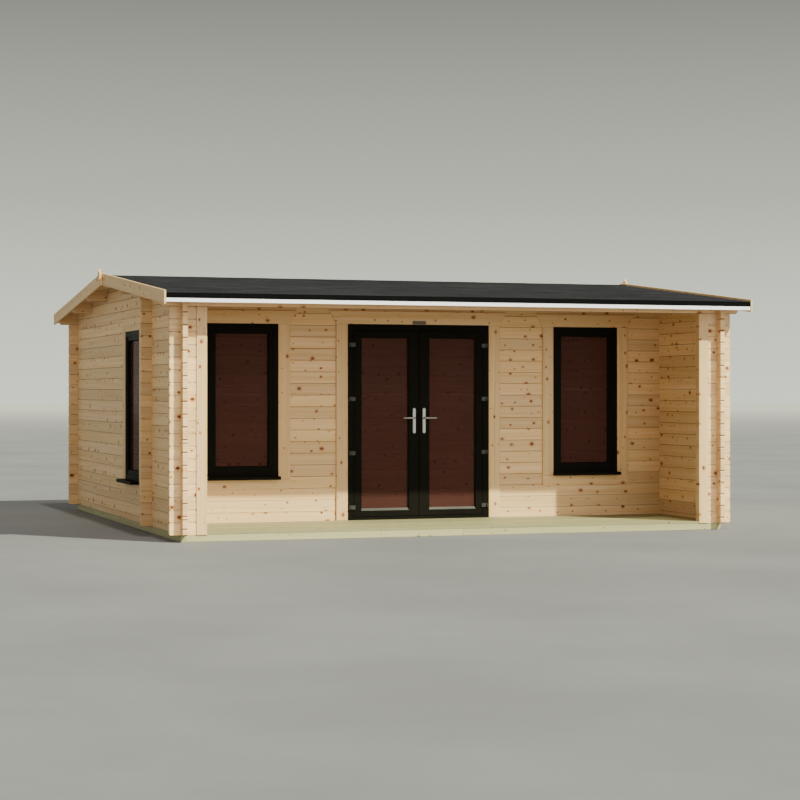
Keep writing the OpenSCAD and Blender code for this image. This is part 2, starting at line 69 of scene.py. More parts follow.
SLOPE = math.tan(math.radians(6))
ROOF_0 = BASE_H + COURSES * LOG_H + EAVE_Y * SLOPE
BOARD_T = 0.018
COVER_T = 0.003
VERGE_FRONT = 2.890
VERGE_REAR = 2.910
EDGE_Y = 2.950
EDGE_T = 0.002
EAVE_BOARD_T = 0.018
BARGE_Y = 2.955
BARGE_T = 0.020
BARGE_H = 0.122
BARGE_UP = 0.024
RIDGE_PLATE_W = 0.090
RIDGE_PLATE_H = 0.070
RIDGE_PLATE_RISE = 0.040

TRIM_T = 0.018
TRIM_SIDE = 0.118
TRIM_TOP = 0.128
TRIM_BOTTOM = 0.100
TRIM_FLARE = 0.070

FRAME_PROUD = 0.011
WINDOW_W = 0.715
WINDOW_H = 1.483
WINDOW_Z = 0.466
WINDOW_X = 1.810
WINDOW_EDGE = 0.050 + 0.038  # frame and sash
WINDOW_GLASS_BACK = 0.028
SASH_BACK = 0.008
CILL_H = 0.032
GABLE_Y = -0.565
GABLE_DROP = 0.057

DOOR_W = 1.490
DOOR_H = 1.936
FRAME_FACE = 0.062
FRAME_Y = FRONT_Y - FRAME_PROUD
THRESHOLD_H = 0.030
LEAF_GAP = 0.005
MEETING_GAP = 0.006
LEAF_T = 0.060
LEAF_X = DOOR_W / 2 - FRAME_FACE - LEAF_GAP
LEAF_W = LEAF_X - MEETING_GAP / 2
LEAF_Z = FLOOR_Z + SEAT + THRESHOLD_H + LEAF_GAP
LEAF_H = DOOR_H - FRAME_FACE - THRESHOLD_H - 2 * LEAF_GAP
HINGE_STILE = 0.071
MEETING_STILE = 0.102
TOP_RAIL = 0.060
BOTTOM_RAIL = 0.055
GLASS_T = 0.024
GLASS_BACK = 0.016
LEVER_X = 0.052
LEVER_Z = FLOOR_Z + SEAT + 1.006
LEVER_LEN = 0.125
PLATE_T = 0.008
HUB_L = 0.040


def roof_under(y):
    return ROOF_0 - abs(y) * SLOPE


def roof_top(y):
    return roof_under(y) + BOARD_T + COVER_T


# ---- shader helpers ----
class Shade:
    """One Principled material whose colour, roughness and bump are built by the methods below."""

    def __init__(self, name, roughness=0.6, metallic=0.0, specular=0.5):
        self.mat = bpy.data.materials.new(name)
        self.mat.use_nodes = True
        self.tree = self.mat.node_tree
        self.tree.nodes.clear()
        self.bsdf = self.tree.nodes.new("ShaderNodeBsdfPrincipled")
        out = self.tree.nodes.new("ShaderNodeOutputMaterial")
        self.tree.links.new(self.bsdf.outputs[0], out.inputs[0])
        self.bsdf.inputs["Roughness"].default_value = roughness
        self.bsdf.inputs["Metallic"].default_value = metallic
        self.bsdf.inputs["Specular IOR Level"].default_value = specular

    def node(self, kind, **props):
        n = self.tree.nodes.new("ShaderNode" + kind)
        for k, v in props.items():
            setattr(n, k, v)
        return n

    def wire(self, value, socket):
        if isinstance(value, bpy.types.NodeSocket):
            self.tree.links.new(value, socket)
        elif socket.type == "RGBA":
            socket.default_value = (*value, 1.0)
        else:
            socket.default_value = value

    def math(self, op, a, b=0.0):
        n = self.node("Math", operation=op)
        for value, socket in zip((a, b), n.inputs):
            self.wire(value, socket)
        return n.outputs[0]

    def add(self, a, b):
        return self.math("ADD", a, b)

    def sub(self, a, b):
        return self.math("SUBTRACT", a, b)

    def mul(self, a, b):
        return self.math("MULTIPLY", a, b)

    def fit(self, value, lo, hi, new_lo=0.0, new_hi=1.0):
        """value, eased from new_lo at lo to new_hi at hi and held beyond them."""
        n = self.node("MapRange", interpolation_type="SMOOTHSTEP")
        for v, s in zip((value, lo, hi, new_lo, new_hi), n.inputs):
            self.wire(v, s)
        return n.outputs[0]

    def vec(self, x, y, z=0.0):
        n = self.node("CombineXYZ")
        for v, s in zip((x, y, z), n.inputs):
            self.wire(v, s)
        return n.outputs[0]

    def split(self, v):
        n = self.node("SeparateXYZ")
        self.wire(v, n.inputs[0])
        return n.outputs

    def place(self):
        """x, y and z in the piece's own mesh, which are the frame's metres at rest."""
        return self.split(self.node("TexCoord").outputs["Object"])

    def noise(self, *terms, detail=2.0, rough=0.5):
        """Soft noise. Each term is a direction's value and its number of features per unit."""
        n = self.node("TexNoise")
        self.wire(self.vec(*(self.mul(v, rate) for v, rate in terms)), n.inputs["Vector"])
        n.inputs["Scale"].default_value = 1.0
        n.inputs["Detail"].default_value = detail
        n.inputs["Roughness"].default_value = rough
        return n.outputs["Fac"]

    def white(self, x, y, z):
        """Three random numbers that are the same wherever x, y and z are."""
        n = self.node("TexWhiteNoise", noise_dimensions="3D")
        self.wire(self.vec(x, y, z), n.inputs["Vector"])
        return self.split(n.outputs["Color"])

    def mix(self, fac, a, b, mode="MIX"):
        n = self.node("Mix", data_type="RGBA", blend_type=mode)
        self.wire(fac, n.inputs[0])
        self.wire(a, n.inputs[6])
        self.wire(b, n.inputs[7])
        return n.outputs[2]

    def colour(self, value):
        self.wire(value, self.bsdf.inputs["Base Color"])

    def rough(self, value):
        self.wire(value, self.bsdf.inputs["Roughness"])

    def bump(self, height, distance, strength=1.0):
        n = self.node("Bump")
        n.inputs["Strength"].default_value = strength
        n.inputs["Distance"].default_value = distance
        self.wire(height, n.inputs["Height"])
        self.tree.links.new(n.outputs[0], self.bsdf.inputs["Normal"])


PINE = dict(
    light=(0.83, 0.57, 0.310),
    mid=(0.75, 0.475, 0.220),
    streak=(0.58, 0.275, 0.085),
    halo=(0.52, 0.165, 0.022),
    knot=(0.110, 0.026, 0.006),
    # colour of the painted shade in log seams and under faces that look down
    joint=(0.22, 0.085, 0.020),
    knots=0.94,
)
TREATED = dict(
    light=(0.430, 0.398, 0.210),
    mid=(0.365, 0.333, 0.165),
    streak=(0.265, 0.238, 0.105),
    halo=(0.200, 0.150, 0.050),
    knot=(0.085, 0.050, 0.014),
    joint=(0.10, 0.08, 0.03),
    knots=0.45,
)


KNOT_SPACING = 0.17  # along a timber
KNOT_R = 0.0032  # of the smallest knot
KNOT_R_MORE = 0.0110  # what the largest one adds to it
KNOT_LENGTHENING = 0.62  # below 1 the knots are longer along the timber
KNOT_BEND = 0.010  # how far the grain swerves round a knot
GRAIN_WANDER = 0.10  # how far the grain drifts across over metres
GRAIN_WAVE = 0.016  # and over decimetres


def wood(s, along, across, depth, cell, who, look, spacing=KNOT_SPACING, joint=None):
    """Colour and bump of planed softwood.

    along, across and depth are metres in the timber's own directions, cell counts timbers across
    and who is three numbers unique to it. spacing is between knots, and the last argument is a
    mask of painted shade, 1 where the colour turns to that of a shaded joint."""
    r, g, b = who
    a = s.add(along, s.mul(r, 40.0))

    # Knots: a Voronoi pattern with a cell for each spacing along and each timber across
    knot_place = s.vec(s.mul(a, 1 / spacing), s.add(cell, s.mul(g, 31.0)))
    v = s.node("TexVoronoi", voronoi_dimensions="2D", feature="F1")
    s.wire(knot_place, v.inputs["Vector"])
    v.inputs["Scale"].default_value = 1.0
    v.inputs["Randomness"].default_value = 0.9
    here = s.split(knot_place)
    there = s.split(v.outputs["Position"])
    chance, size, kind = s.split(v.outputs["Color"])
    dx = s.mul(s.sub(here[0], there[0]), spacing)
    dy = s.mul(s.sub(here[1], there[1]), LOG_H)
    off = s.math("SQRT", s.add(s.mul(s.mul(dx, dx), KNOT_LENGTHENING), s.mul(dy, dy)))
    present = s.math("LESS_THAN", chance, look["knots"])
    radius = s.add(KNOT_R, s.mul(s.math("POWER", size, 2.5), KNOT_R_MORE))
    ragged = s.noise((a, 60.0), (across, 90.0), (g, 1.0))
    off = s.mul(off, s.add(0.60, s.mul(ragged, 0.80)))
    radii = s.math("DIVIDE", off, radius)
    core = s.mul(s.fit(radii, 1.15, 0.80), present)
    halo = s.mul(s.fit(radii, 2.5, 1.0), present)
    bend = s.mul(s.mul(s.fit(off, 0.07, 0.0), present), KNOT_BEND)

    # Grain: growth rings that wander across and bend round the knots, and fine fibres
    wander = s.mul(s.noise((a, 0.42), (g, 9.0), (b, 9.0), detail=1.0), GRAIN_WANDER)
    wave = s.mul(s.noise((a, 2.6), (across, 9.0), (g, 1.0), detail=1.0), GRAIN_WAVE)
    ring = s.add(s.add(s.add(across, wander), wave), bend)
    rings = s.noise((a, 0.30), (ring, 150.0), (depth, 12.0), detail=2.5, rough=0.6)
    broad = s.noise((a, 0.55), (ring, 26.0), (b, 30.0))
    fibre = s.noise((a, 9.0), (across, 620.0), (depth, 620.0))

    # Colour, whose tone differs from timber to timber
    base = s.mix(s.fit(broad, 0.30, 0.72), look["light"], look["mid"])
    base = s.mix(s.mul(s.fit(rings, 0.53, 0.74), 0.62), base, look["streak"])
    base = s.mix(s.mul(s.fit(fibre, 0.35, 0.8), 0.14), base, look["streak"])
    tone = s.fit(b, 0.0, 1.0, 0.86, 1.08)
    tint = s.vec(tone, tone, s.mul(tone, s.fit(g, 0.0, 1.0, 0.94, 1.05)))
    base = s.mix(1.0, base, tint, "MULTIPLY")
    base = s.mix(s.mul(halo, s.fit(kind, 0.0, 1.0, 0.45, 0.95)), base, look["halo"])
    base = s.mix(s.mul(core, s.fit(kind, 0.10, 0.5, 0.70, 1.0)), base, look["knot"])
    # Painted shade: where the mask is 1 the colour turns to the shaded-joint colour
    if joint is not None:
        base = s.mix(joint, base, look["joint"])
    s.colour(base)
    s.rough(s.fit(rings, 0.2, 0.8, 0.50, 0.64))
    height = s.add(s.add(s.mul(fibre, 0.35), s.mul(rings, 0.5)), s.mul(core, -0.5))
    s.bump(height, distance=0.0006, strength=0.7)


def log_wood(name, axis, spacing=KNOT_SPACING):
    """Wood of a log wall, which finds each log from its height. Logs along Y lie half a log lower
    than those along X."""
    s = Shade(name)
    x, y, z = s.place()
    along, depth, shift = (x, y, 0.0) if axis == X else (y, x, 0.5)
    level = s.add(s.mul(s.sub(z, BASE_H), 1 / LOG_H), shift)
    course = s.math("FLOOR", level)
    across = s.mul(s.sub(s.sub(level, course), 0.5), LOG_H)
    wall = s.node("ObjectInfo").outputs["Random"]
    who = s.white(course, s.mul(wall, 91.7), 3.0)
    # Painted shade in the V seams and on faces that look down, such as the chamfers of log ends
    edge = s.sub(LOG_H / 2, s.math("ABSOLUTE", across))
    down = s.split(s.node("TexCoord").outputs["Normal"])[2]
    seam_shade = s.mul(s.fit(edge, 0.0046, 0.0022), 0.22)
    down_face_shade = s.mul(s.fit(down, -0.35, -0.60), 0.85)
    wood(s, along, across, depth, level, who, PINE, spacing, s.math("MAXIMUM", seam_shade, down_face_shade))
    return s.mat


def board_wood(name, look):
    """Wood of boards that carry their own grain directions and number."""
    s = Shade(name)
    grain = s.node("Attribute", attribute_name="grain").outputs["Vector"]
    along, across, depth = s.split(grain)
    number = s.node("Attribute", attribute_name="number").outputs["Fac"]
    who = s.white(number, s.mul(number, 7.13), 5.0)
    wood(s, along, across, depth, s.mul(across, 1 / LOG_H), who, look)
    return s.mat


def speckled(name, colour, scale, spread, roughness, bump=0.0002, specular=0.5):
    """A painted, coated or moulded surface: slight mottling, uneven sheen and fine texture.

    scale is the texture's features per metre, spread is how far the colour varies, and bump is the
    texture's height."""
    s = Shade(name, roughness, 0.0, specular)
    place = s.place()
    fine = s.noise(*((c, scale) for c in place), detail=3.0, rough=0.6)
    wide = s.noise(*((c, 2.3) for c in place), detail=3.0, rough=0.6)
    dark = tuple(c * (1 - spread) for c in colour)
    pale = tuple(min(1.0, c * (1 + spread)) for c in colour)
    s.colour(s.mix(s.fit(s.add(s.mul(fine, 0.5), s.mul(wide, 0.5)), 0.35, 0.65), dark, pale))
    s.rough(s.fit(wide, 0.3, 0.7, roughness * 0.88, min(1.0, roughness * 1.14)))
    s.bump(fine, bump)
    return s.mat


def brushed(name, colour, roughness):
    """Satin metal with fine brushing along Z."""
    s = Shade(name, roughness, 1.0)
    x, y, z = s.place()
    lines = s.noise((x, 900.0), (y, 900.0), (z, 30.0))
    dark = tuple(c * 0.86 for c in colour)
    s.colour(s.mix(lines, dark, colour))
    s.rough(s.fit(lines, 0.3, 0.7, roughness * 0.8, roughness * 1.25))
    s.bump(lines, distance=0.0001, strength=0.5)
    return s.mat


def mineral_felt():
    """Mineral felt whose tabs differ a little in tone."""
    s = Shade("roof felt", 0.9, 0.0, 0.08)
    number = s.node("Attribute", attribute_name="number").outputs["Fac"]
    tab = s.white(number, s.mul(number, 3.7), 9.0)[0]
    x, y, z = s.place()
    grit = s.noise((x, 420.0), (y, 420.0), (z, 420.0), rough=0.7)
    wash = s.noise((x, 0.9), (y, 5.0), detail=3.0, rough=0.6)
    tone = s.add(s.add(s.mul(tab, 0.30), s.mul(wash, 0.30)), s.mul(grit, 0.40))
    s.colour(s.mix(s.fit(tone, 0.25, 0.75), (0.0100, 0.0095, 0.0120), (0.0220, 0.0210, 0.0262)))
    s.bump(grit, distance=0.0012, strength=0.8)
    return s.mat


def glazing():
    """Double glazing: see-through in part, so that the dark room behind shows faintly. Its
    reddish-brown colour is painted shade of that room.
    """
    s = Shade("glazing", 0.03, 0.0, 0.012)
    film = s.noise(*((c, 1.4) for c in s.place()), detail=3.0, rough=0.6)
    # Reddish-brown base colour: painted shade of the dim wooden room behind the glass
    s.colour(s.mix(s.fit(film, 0.3, 0.7), (0.090, 0.036, 0.030), (0.104, 0.041, 0.034)))
    s.bsdf.inputs["Alpha"].default_value = 0.50
    s.rough(s.fit(film, 0.3, 0.7, 0.02, 0.05))
    return s.mat


def shaded_copy(look, share):
    """The same wood with every colour multiplied by share: a copy in painted shade."""
    return {
        part: tuple(share * c for c in value) if isinstance(value, tuple) else value
        for part, value in look.items()
    }


LOGS_X = log_wood("wall logs across", X)
LOGS_Y = log_wood("wall logs deep", Y, spacing=0.14)
ROOF_X = log_wood("roof timbers", X)
BOARD = board_wood("planed boards", PINE)
GREEN = board_wood("treated boards", TREATED)
# The deck's wood is the treated wood made darker: painted shade that tones down the strong sun on
# its top faces
SHADED_DECK = board_wood("deck boards", shaded_copy(TREATED, 0.72))
FELT = mineral_felt()
FRAME = speckled("black frame", (0.0085, 0.0078, 0.0060), 60.0, 0.18, 0.45, specular=0.014)
BEAD = speckled("bottom bead", (0.060, 0.057, 0.052), 60.0, 0.12, 0.32, specular=0.2)
EDGE = speckled("edge metal", (0.0016, 0.0016, 0.0016), 30.0, 0.2, 0.40, 0.0003, specular=0.05)
WHITE = speckled("white board", (0.90, 0.87, 0.96), 40.0, 0.03, 0.42)
HINGE = speckled("hinge paint", (0.034, 0.032, 0.028), 120.0, 0.10, 0.42, 0.0001, specular=0.3)
BADGE = speckled("plain plate", (0.125, 0.098, 0.078), 120.0, 0.08, 0.40, 0.0001, specular=0.3)
STEEL = brushed("satin steel", (0.33, 0.33, 0.31), 0.38)
GLASS = glazing()

# ---- carried-over CAD nodes ----
for material, carried in (
    (LOGS_X, ("back_wall", "front_wall_left", "front_wall_right", "front_wall_over_door")),
    (LOGS_X, ("left_corner_logs", "right_corner_logs")),
    (LOGS_Y, ("left_wall", "right_wall")),
    (ROOF_X, ("front_eave_beam", "rear_eave_beam", "ridge_purlin", "slope_purlins")),
    (WHITE, ("eave_boards",)),
    (EDGE, ("edge_trims",)),
    (FRAME, ("left_window_frame", "right_window_frame", "gable_window_frame")),
    (FRAME, ("door_frame", "left_leaf", "right_leaf")),
    (GLASS, ("window_glass", "left_leaf_glass", "right_leaf_glass")),
    (HINGE, ("frame_hinges", "left_leaf_hinges", "right_leaf_hinges")),
    (BADGE, ("door_badge",)),
    (STEEL, ("left_handle_plates", "right_handle_plates")),
):
    for node in carried:
        for slot in nodes[node].material_slots:
            slot.material = material


# ---- boards ----
def inset(outline, c):
    """A convex outline, counter-clockwise, moved inwards by c."""
    n = len(outline)
    lines = []
    for i in range(n):
        (x0, y0), (x1, y1) = outline[i], outline[(i + 1) % n]
        d = math.hypot(x1 - x0, y1 - y0)
        nx, ny = -(y1 - y0) / d, (x1 - x0) / d
        lines.append((nx, ny, nx * x0 + ny * y0 + c))
    out = []
    for i in range(n):
        a, b = lines[i - 1], lines[i]
        det = a[0] * b[1] - a[1] * b[0]
        out.append(((a[2] * b[1] - a[1] * b[2]) / det, (a[0] * b[2] - a[2] * b[0]) / det))
    return out


class Boards:
    """A mesh of many boards, each with its own grain directions and number."""

    def __init__(self):
        self.verts, self.faces, self.grain, self.number = [], [], [], []
        self.count = 0

    def prism(self, origin, u_dir, v_dir, w_dir, outline, thick, ease=0.002, both=True):
        """A board from an outline along u (its grain) and v, thick along w. Its edges are eased on
        both faces, or only on the one further along w."""
        area = sum(
            outline[i - 1][0] * outline[i][1] - outline[i][0] * outline[i - 1][1]
            for i in range(len(outline))
        )
        if area < 0:
            outline = outline[::-1]
        small = inset(outline, ease)
        first = small if both else outline
        layers = [(first, 0.0), (outline, ease if both else 0.0)]
        layers += [(outline, thick - ease), (small, thick)]
        if not both:
            layers = layers[1:]
        origin, u_dir, v_dir, w_dir = map(Vector, (origin, u_dir, v_dir, w_dir))
        self.count += 1
        shift = (rng.uniform(-5, 5), rng.uniform(-3, 3), rng.uniform(-3, 3))
        start, n = len(self.verts), len(outline)
        for ring, w in layers:
            for u, v in ring:
                self.verts.append(origin + u_dir * u + v_dir * v + w_dir * w)
                self.grain.append((u + shift[0], v + shift[1], w + shift[2]))
                self.number.append(float(self.count))
        top = start + n * (len(layers) - 1)
        self.faces.append(tuple(range(start + n - 1, start - 1, -1)))
        self.faces.append(tuple(range(top, top + n)))
        for k in range(len(layers) - 1):
            a, b = start + k * n, start + (k + 1) * n
            for i in range(n):
                j = (i + 1) % n
                self.faces.append((a + i, a + j, b + j, b + i))

    def box(self, lo, hi, along, thin, ease=0.002):
        """An upright box whose grain runs on axis along and whose thickness is on axis thin."""
        across = (X + Y + Z) - along - thin
        axes = [RIGHT, Vector((0, 1, 0)), UP]
        size = [hi[i] - lo[i] for i in range(3)]
        outline = [(0, 0), (size[along], 0), (size[along], size[across]), (0, size[across])]
        self.prism(lo, axes[along], axes[across], axes[thin], outline, size[thin], ease)

    def make(self, name, material, slot, *replaced):
        """One piece on the cabin, which replaces the CAD nodes named."""
        mesh = bpy.data.meshes.new(name)
        mesh.from_pydata(self.verts, [], self.faces)
        bm = bmesh.new()
        bm.from_mesh(mesh)
        bmesh.ops.recalc_face_normals(bm, faces=bm.faces)
        bm.to_mesh(mesh)
        bm.free()
        flat = [c for g in self.grain for c in g]
        mesh.attributes.new("grain", "FLOAT_VECTOR", "POINT").data.foreach_set("vector", flat)
        mesh.attributes.new("number", "FLOAT", "POINT").data.foreach_set("value", self.number)
        mesh.materials.append(material)
        piece = bpy.data.objects.new(name, mesh)
        bpy.context.scene.collection.objects.link(piece)
        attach(piece, "cabin")
        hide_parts(*replaced)


# Base: two front beams butted at the middle, side beams, cross beams and bearers
base = Boards()
inner = HALF_W - BASE_W


def beam(x0, x1, y0, y1):
    """A base beam between these faces, less half a clearance on each."""
    along = X if x1 - x0 > y1 - y0 else Y
    lo = (x0 + FIT / 2, y0 + FIT / 2, 0.0)
    hi = (x1 - FIT / 2, y1 - FIT / 2, BASE_H)
    base.box(lo, hi, along, X if along == Y else Y, ease=0.0025)


for x0, x1 in ((-HALF_W, -inner), (inner, HALF_W)):
    beam(x0, x1, -EAVE_Y, EAVE_Y)
for x0, x1 in ((-inner, 0.0), (0.0, inner)):
    beam(x0, x1, -EAVE_Y, BASE_W - EAVE_Y)
beam(-inner, inner, FRONT_Y, FRONT_Y + BASE_W)
beam(-inner, inner, EAVE_Y - BASE_W, EAVE_Y)
for i in range(BEARERS):
    x = (inner - BASE_W / 2) * (2 * i / (BEARERS - 1) - 1)
    beam(x - BASE_W / 2, x + BASE_W / 2, BASE_W - EAVE_Y, FRONT_Y)
    beam(x - BASE_W / 2, x + BASE_W / 2, FRONT_Y + BASE_W, EAVE_Y - BASE_W)
base.make("base_timbers", GREEN, "treated_timber", "base_beams")

# Deck boards with open gaps: one between the posts, and rows behind them
DECK_GAP = 0.004
DECK_ROWS = 10
deck = Boards()
low, high = BASE_H + SEAT, FLOOR_Z
notch = POST_D - POST_PROUD - EAVE_Y + FIT
side = HALF_W - LOG_T - FIT
deck.box((-POST_X + FIT, -EAVE_Y, low), (POST_X - FIT, notch - DECK_GAP, high), X, Z)
step = (FRONT_Y - FIT - notch + DECK_GAP) / DECK_ROWS
for i in range(DECK_ROWS):
    y = notch + i * step
    deck.box((-side, y, low), (side, y + step - DECK_GAP, high), X, Z)
deck.make("deck_boards", SHADED_DECK, "treated_timber", "porch_deck")

# Floor boards laid tight, and one in the doorway
FLOOR_ROWS = 36
floor = Boards()
front, back = FRONT_Y + LOG_T + FIT, EAVE_Y - LOG_T - FIT
step = (back - front) / FLOOR_ROWS
for i in range(FLOOR_ROWS):
    y = front + i * step
    floor.box((-side, y, low), (side, y + step - FIT, high), X, Z, ease=0.0012)
doorway = DOOR_W / 2 - FIT
floor.box((-doorway, FRONT_Y, low), (doorway, front - FIT, high), X, Z, ease=0.001)
floor.make("floor_boards", BOARD, "treated_timber", "room_floor")

# Posts, which end below the eave beam
for name, sign in SIDES:
    post = Boards()
    x0, x1 = sorted((sign * POST_X, sign * (POST_X + POST_W)))
    y0 = -EAVE_Y - POST_PROUD
    top = BASE_H + (COURSES - 1) * LOG_H - SEAT
    post.box((x0, y0, BASE_H + SEAT), (x1, y0 + POST_D, top), Z, Y, ease=0.003)
    post.make(name + "_post_timber", BOARD, "trim_board", name + "_post")


# Trim boards round windows and door. A place is a point on the wall's face in the middle of an
# opening's width, from which its heights count, and the directions to the right, seen from
# outside, and out of the wall.
def at_front(x, z):
    return Vector((x, FRONT_Y, z)), RIGHT, Vector((0, -1, 0))


WINDOWS = (
    ("left_window", at_front(-WINDOW_X, BASE_H)),
    ("right_window", at_front(WINDOW_X, BASE_H)),
    (
        "gable_window",
        (Vector((-HALF_W, GABLE_Y, BASE_H - GABLE_DROP)), Vector((0, -1, 0)), Vector((-1, 0, 0))),
    ),
)


def trim_set(name, place, opening, low_z, high_z, bottom, node):
    """Boards beside an opening, one on top with flared ends, and one below if bottom is its
    height."""
    origin, right, out = place
    trim = Boards()
    wide = opening + 2 * TRIM_SIDE
    thick = TRIM_T - SEAT

    def put(u_dir, v_dir, outline):
        start = origin + out * SEAT
        trim.prism(start, u_dir, v_dir, out, outline, thick, ease=0.0025, both=False)

    for x0, x1 in ((-wide / 2, -opening / 2 - SEAT), (opening / 2 + SEAT, wide / 2)):
        put(UP, right, [(low_z, x0), (high_z, x0), (high_z, x1), (low_z, x1)])
    half = wide / 2
    if bottom:
        z = low_z - FIT
        put(right, UP, [(-half, z - bottom), (half, z - bottom), (half, z), (-half, z)])
    z = high_z + FIT
    far = half + TRIM_FLARE
    put(right, UP, [(-half, z), (half, z), (far, z + TRIM_TOP), (-far, z + TRIM_TOP)])
    trim.make(name, BOARD, "trim_board", node)


sill = WINDOW_Z - CILL_H
head = WINDOW_Z + WINDOW_H
for name, place in WINDOWS:
    trim_set(name + "_boards", place, WINDOW_W, sill, head, TRIM_BOTTOM, name + "_trim")
trim_set("door_boards", at_front(0.0, FLOOR_Z + SEAT), DOOR_W, 0.0, DOOR_H, 0.0, "door_trim")

# The front and the rear slope: sign of Y, and half the length of the roof between bargeboards
SLOPES = ((-1, VERGE_FRONT), (1, VERGE_REAR))


def slope_dirs(side_y):
    """Directions down a slope and square out of it."""
    down = Vector((0, side_y, -SLOPE)).normalized()
    return down, Vector((0, side_y * SLOPE, 1)).normalized()


# Bargeboards, the rear ones one thickness further out, and pointed plates at the ridge
crest = roof_top(0) + BARGE_UP
for name, sign in SIDES:
    barge = Boards()
    for side_y, near in SLOPES:
        u_dir, v_dir = slope_dirs(side_y)
        start = Vector((sign * (near + SEAT), side_y * FIT / 2, crest))
        drop = Vector((0, 0, -BARGE_H))
        run = Vector((0, side_y * (BARGE_Y - FIT / 2), -SLOPE * BARGE_Y))
        corners = [Vector((0, 0, 0)), drop, drop + run, run]
        outline = [(p.dot(u_dir), p.dot(v_dir)) for p in corners]
        barge.prism(start, u_dir, v_dir, (sign, 0, 0), outline, BARGE_T - SEAT, ease=0.003)
    barge.make(name + "_barge_timber", BOARD, "trim_board", name + "_bargeboards")
plates = Boards()
foot, half, point = -RIDGE_PLATE_H, RIDGE_PLATE_W / 2, (RIDGE_PLATE_RISE, 0.0)
for _, sign in SIDES:
    outline = [(foot, -half), (foot, half), (0.0, half), point, (0.0, -half)]
    start = (sign * (VERGE_REAR + BARGE_T + SEAT), 0.0, crest)
    plates.prism(start, UP, (0, 1, 0), (sign, 0, 0), outline, BARGE_T)
plates.make("ridge_plate_timber", BOARD, "trim_board", "ridge_plates")

# Roof boards from the ridge to the eaves, with V joints below
ROOF_BOARDS = 60
JOINT_GAP = 0.0006
RIDGE_GAP = 0.002
roof = Boards()
for side_y, verge in SLOPES:
    u_dir, out = slope_dirs(side_y)
    reach = verge - SEAT
    far = (EDGE_Y - EDGE_T - EAVE_BOARD_T - SEAT) / abs(u_dir.y)
    step = 2 * reach / ROOF_BOARDS
    wide = step - JOINT_GAP
    for i in range(ROOF_BOARDS):
        start = Vector((-reach + i * step, 0.0, roof_under(0) + BOARD_T - SEAT))
        outline = [(RIDGE_GAP, 0), (far, 0), (far, wide), (RIDGE_GAP, wide)]
        roof.prism(start, u_dir, RIGHT, -out, outline, BOARD_T - 0.001, ease=0.004, both=False)
roof.make("roof_boarding", BOARD, "roof_timber", "roof_boards")

# Felt: an underlay sheet, tabs in courses that each lap the one below, and a cap on the ridge
UNDERLAY_T = 0.0010
TAB_T = 0.0026
TAB_COURSES = 20
TABS = 18
TAB_SLOT = 0.004
LEAST_TAB = 0.02  # a narrower rest of a tab at the verge is left out
LAP = 0.25  # share of a course that goes under the one above
TAB_START = 0.0012  # height of a tab's upper edge over the roof boards
TAB_RISE = 0.0030  # how much higher its lower edge lies than a parallel sheet's
CAP_T = 0.0028
CAPS = 20
CAP_REACH = 0.14
CAP_START = 0.0060
CAP_STEP = 0.0006  # every other cap piece lies this much higher
EDGE_CLEAR = 0.0025  # between the felt's end and the edge trim's outer face
felt = Boards()


def lay_felt(start, u_dir, w_dir, run, wide, thick, ease=0.0006):
    """A strip of felt that runs down the slope from start and is wide along X."""
    outline = [(0, 0), (run, 0), (run, wide), (0, wide)]
    felt.prism(start, u_dir, RIGHT, w_dir, outline, thick, ease, both=False)


for side_y, verge in SLOPES:
    down, out = slope_dirs(side_y)
    reach = verge - SEAT
    deck_top = roof_under(0) + BOARD_T
    fall = math.hypot(1.0, SLOPE)
    length = (EDGE_Y - EDGE_CLEAR) * fall
    start = (-reach, 0.0, deck_top + 0.0001)
    lay_felt(start, down, out, length - 0.002, 2 * reach, UNDERLAY_T, ease=0.0002)
    step = length / TAB_COURSES
    # A tab's lower edge rises by its lap on the course below, so it lies at a flatter angle
    angle = math.atan(SLOPE) - math.atan2(TAB_RISE, step * 1.3)
    u_dir = Vector((0, side_y * math.cos(angle), -math.sin(angle)))
    w_dir = Vector((0, side_y * math.sin(angle), math.cos(angle)))
    width = 2 * reach / TABS
    for k in range(TAB_COURSES):
        y = side_y * max(0.0, (k - LAP) * step / fall)
        start_z = roof_under(y) + BOARD_T + TAB_START
        run = (k + 1) * step - abs(y) * fall
        x = -reach + (0.0 if k % 2 else -width / 2)
        while x < reach - 0.001:
            x0, x1 = max(x, -reach), min(x + width - TAB_SLOT, reach)
            if x1 - x0 > LEAST_TAB:
                lay_felt((x0, y, start_z), u_dir, w_dir, run, x1 - x0, TAB_T)
            x += width
    width = 2 * reach / CAPS
    for i in range(CAPS):
        start = (-reach + i * width, 0.0, deck_top + CAP_START + CAP_STEP * (i % 2))
        lay_felt(start, down, out, CAP_REACH, width, CAP_T)
felt.make("felt_tabs", FELT, "roofing_felt", "roof_covering")


# ---- beads, levers and lock faces ----
def piece(name, bm, material, slot, body, *replaced, smooth=False):
    """A piece made of bm, which is used up."""
    mesh = bpy.data.meshes.new(name)
    bmesh.ops.recalc_face_normals(bm, faces=bm.faces)
    bm.to_mesh(mesh)
    bm.free()
    if smooth:
        for p in mesh.polygons:
            p.use_smooth = True
    mesh.materials.append(material)
    o = bpy.data.objects.new(name, mesh)
    bpy.context.scene.collection.objects.link(o)
    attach(o, body)
    if replaced:
        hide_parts(*replaced)


def bar(bm, origin, right, out, profile, x0, x1, axis_up, mitre=1.0):
    """A moulding: profile points (rise, depth) swept from x0 to x1 with mitred ends."""
    rings = []
    for end, sign in ((x0, 1), (x1, -1)):
        ring = [
            bm.verts.new(origin + right * (end + sign * rise * mitre) + axis_up * rise + out * d)
            for rise, d in profile
        ]
        rings.append(ring)
    n = len(profile)
    for i in range(n):
        j = (i + 1) % n
        bm.faces.new((rings[0][i], rings[0][j], rings[1][j], rings[1][i]))
    bm.faces.new(rings[0][::-1])
    bm.faces.new(rings[1])


